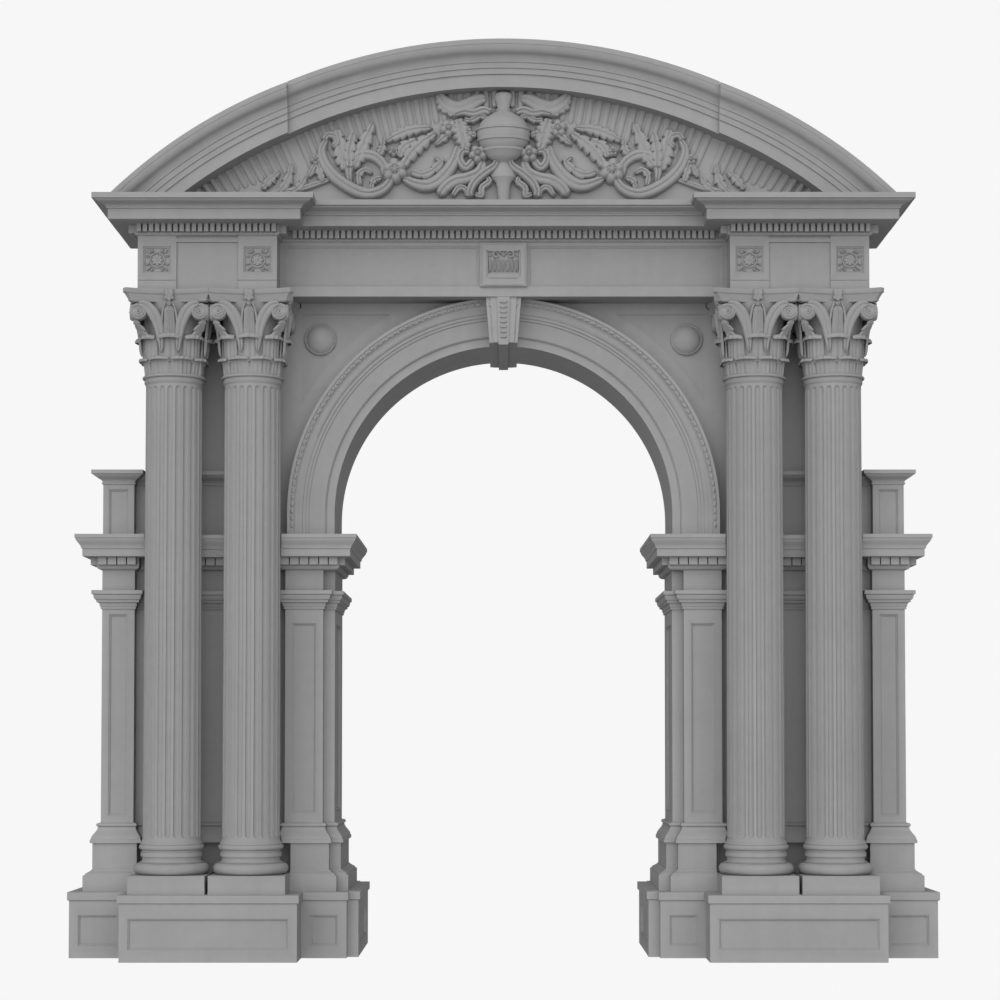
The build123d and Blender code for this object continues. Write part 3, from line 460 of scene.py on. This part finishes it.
# ==== Strigils of the pediment ====================================================================
# A row of round-ended ribs hangs under the curved cornice, cut in the pediment's wall and set
# square to the curve: short by the urn, longest over the great scrolls, shorter at the ends.
ribs = Carving()
crown_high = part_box("raking_crown")[1]
crown_z, crown_end, crown_rim = crown_high.z - 4.786, crown_high.x, 4.401
flank_x, flank_z, flank_rim = 0.309, crown_z + 0.308, 3.992
v, u = np.linspace(0, 1, 14)[:, None], np.linspace(-1, 1, 9)[None, :]
runs = [(0.0, crown_z, crown_rim, number * 0.0174, 0.15 + 0.2 * min(1, number / 14))
        for number in range(1, 25)]
flank_start = math.asin((crown_end - flank_x) / flank_rim)
runs += [(flank_x, flank_z, flank_rim, flank_start + number * 0.0192, 0.34 - 0.014 * number)
         for number in range(1, 19)]
for centre_x, centre_z, rim, lean, length in runs:
    reach = rim + 0.02 - v * length
    close = np.clip((1 - v) / 0.12, 0, 1) ** 0.5
    wide = 0.03 * u * close
    high = (0.022 if length > 0.2 else 0.045) * np.sqrt(1 - 0.99 * u ** 2) * close
    for sign in (-1, 1):
        x = sign * (centre_x + reach * math.sin(lean) + wide * math.cos(lean))
        z = centre_z + reach * math.cos(lean) - wide * math.sin(lean)
        ribs.grid(np.stack([x, wall_y + 0.002 - high + 0 * x, z], -1))
ribs.make("pediment_strigils")

# ==== Urn =========================================================================================
# Lidded urn on a leafy stem, its front half standing out of the pediment's wall. Raised bands go
# round the belly, the lid is plain, and a smooth bud tops it.
foot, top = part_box("urn")
profile = [(0.048, 6.537), (0.052, 6.57), (0.056, 6.631), (0.069, 6.675), (0.104, 6.718),
           (0.095, 6.762), (0.069, 6.805), (0.048, 6.849), (0.061, 6.857), (0.104, 6.875),
           (0.152, 6.91), (0.173, 6.944), (0.185, 6.951), (0.189, 6.971), (0.171, 6.974),
           (0.204, 7.005), (0.216, 7.036), (0.229, 7.04), (0.229, 7.058), (0.223, 7.062),
           (0.232, 7.11), (0.229, 7.132), (0.241, 7.136), (0.241, 7.151), (0.218, 7.155),
           (0.204, 7.197), (0.182, 7.232), (0.13, 7.275), (0.082, 7.302), (0.061, 7.315),
           (0.069, 7.328), (0.052, 7.345), (0.061, 7.38), (0.074, 7.424), (0.08, 7.459),
           (0.069, 7.48), (0.035, 7.494), (0.0, 7.497)]
heights = np.array([z for r, z in profile])
ground = heights.min()
stretch = (top.z + 0.026 - ground) / (heights.max() - ground)
fitted = [(profile[0][0], foot.z)] + [(r, ground + (z - ground) * stretch) for r, z in profile]
urn = Carving()
shape = turned(fitted, 97, math.pi - 0.4, 2 * math.pi + 0.4)
shape[..., 1] = np.minimum(shape[..., 1] * 0.7 + wall_y - 0.05, root_y)
urn.grid(shape)
for sign in (-1, 1):
    path = [(sign * x, root_y, z) for x, z in ((0.001, 6.677), (0.065, 6.712), (0.108, 6.756))]
    urn.grid(band(path, (0.035, 0.05, 0.02), 0.06, 2, 0.0, 30, 11))
urn.make("carved_urn", "urn")

# ==== Rosettes of the frieze ======================================================================
# A flower in a leafy lattice fills the square panel over each column, cut in the frieze blocks.
end_to_panel = 0.165
for side, sign in (("left", -1), ("right", 1)):
    low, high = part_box(f"{side}_column_frieze")
    outer_end, inner_end = (high.x, low.x) if sign > 0 else (low.x, high.x)
    for place, x in (("outer", outer_end - sign * end_to_panel),
                     ("inner", inner_end + sign * end_to_panel)):
        centre = np.array([x, low.y + 0.021, (low.z + high.z) / 2 + 0.029])
        rosette = Carving()
        rosette.grid(flower(centre, 0.052, 8, 0.024))
        tube, a = np.linspace(0, 2 * math.pi, 9)[:, None], np.linspace(0, 2 * math.pi, 49)[None, :]
        ring, lift = 0.062 + 0.006 * np.cos(tube), 0.007 + 0.008 * np.sin(tube)
        rosette.grid(np.stack([centre[0] + ring * np.cos(a), centre[1] - lift + 0 * a,
                               centre[2] + ring * np.sin(a)], -1))
        for corner in range(4):
            across, up = (1, 1, -1, -1)[corner], (1, -1, 1, -1)[corner]
            for start, end in (((0.045, 0.06), (0.088, 0.09)), ((0.03, 0.07), (0.045, 0.096)),
                               ((0.066, 0.032), (0.094, 0.045))):
                middle = ((start[0] + end[0]) / 2 + 0.006, (start[1] + end[1]) / 2 - 0.004)
                path = [(centre[0] + across * px, centre[1], centre[2] + up * pz)
                        for px, pz in (start, middle, end)]
                rosette.grid(band(path, (0.006, 0.013, 0.006), 0.02, 3, 0.2, 20, 9))
        rosette.make(f"{side}_{place}_rosette")

# ==== Plaque of the frieze ========================================================================
# Low relief in the sunk square of the middle plaque: a row of small scrolls over upright reeds
# and leaves, standing on a plain line. It shows no figure and no lettering.
low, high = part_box("frieze_plaque")
base_y, foot_z = low.y + 0.021, low.z + 0.128
relief = Carving()
for number in range(-3, 4):
    x = number * 0.037
    reed = [(x, base_y, foot_z), (x * 1.02, base_y, foot_z + 0.06),
            (x * 1.05, base_y, foot_z + 0.11)]
    relief.grid(band(reed, (0.01, 0.014, 0.009), 0.026, 0 if number % 2 else 4, 0.35, 26, 9))
for sign in (-1, 1):
    a = np.linspace(0.4, 9.4, 11)
    curl = [(sign * (0.06 + (0.006 + 0.0034 * angle) * math.cos(angle)), base_y,
             foot_z + 0.148 + (0.006 + 0.0034 * angle) * math.sin(angle)) for angle in a]
    relief.grid(band(curl, (0.005, 0.008, 0.009), 0.026, 0, 0.0, 50, 7))
    relief.grid(flower((sign * 0.122, base_y, foot_z + 0.145), 0.018, 4, 0.024))
relief.grid(flower((0, base_y, foot_z + 0.15), 0.02, 5, 0.026))
middle_z, half_height, face_y = (low.z + high.z) / 2, (high.z - low.z) / 2, low.y + 0.003
for reach, tall in ((0.188, half_height - 0.014), (0.14, half_height - 0.075)):
    for sign in (-1, 1):
        for start, end in (((sign * reach, -tall), (sign * reach, tall)),
                           ((-reach, sign * tall), (reach, sign * tall))):
            line = [(start[0], face_y, middle_z + start[1]),
                    ((start[0] + end[0]) / 2, face_y, middle_z + (start[1] + end[1]) / 2),
                    (end[0], face_y, middle_z + end[1])]
            relief.grid(band(line, (0.006, 0.006), 0.01, 0, 0.0, 12, 7))
relief.make("plaque_relief")

# ==== Keystone ====================================================================================
# A ladder of short bars runs down the raised middle band of the keystone, between small
# flowers and leaves carved on its sides, all in the one block.
low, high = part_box("keystone")
key = Carving()
band_y, side_y = low.y + 0.003, low.y + 0.03
for number in range(8):
    height, half_bar = high.z - 0.045 - 0.043 * number, 0.034 - 0.001 * number
    path = [(half_bar, band_y, height), (0, band_y, height), (-half_bar, band_y, height)]
    key.grid(band(path, (0.011, 0.013, 0.011), 0.018, 0, 0.0, 24, 9))
for sign in (-1, 1):
    for height, across, radius in ((high.z - 0.06, 0.096, 0.036), (high.z - 0.16, 0.088, 0.026)):
        key.grid(flower((sign * across, side_y, height), radius, 5, 0.02))
    path = [(sign * 0.088, side_y, high.z - 0.2), (sign * 0.082, side_y, high.z - 0.3),
            (sign * 0.074, side_y, high.z - 0.37)]
    key.grid(band(path, (0.014, 0.024, 0.012), 0.016, 4, 0.2, 30, 9))
key.make("keystone_carving")

# ==== Beads of the arch ===========================================================================
# A string of long beads with narrow dark gaps lies in the fillet near the rim of the arch, from
# the springing stones to the keystone, carved in the same blocks.
arch_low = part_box("right_archivolt")[0]
beads = Carving()
arch_centre_z, string_radius, turn_between, drop_between = 3.82, 1.831, 0.0329, 0.0605
r = np.linspace(0, math.pi / 2, 6)[:, None]
a = np.linspace(0, 2 * math.pi, 17)[None, :]
out, along = 0.013 * np.sin(r) ** 0.6 * np.cos(a), 0.0235 * np.sin(r) ** 0.6 * np.sin(a)
spots = [(angle, 0.0) for angle in np.arange(0.008, math.radians(85), turn_between)]
springing = arch_centre_z - arch_low.z - 0.03
spots += [(0.0, drop) for drop in np.arange(0.045, springing, drop_between)]
for angle, drop in spots:
    reach = string_radius + out
    x = reach * math.cos(angle) - along * math.sin(angle)
    z = arch_centre_z - drop + reach * math.sin(angle) + along * math.cos(angle)
    cap = np.stack([x, arch_low.y + 0.0105 - 0.016 * np.cos(r) + 0 * x, z], -1)
    beads.grid(cap)
    beads.grid(cap * (-1, 1, 1))
beads.make("arch_beads")
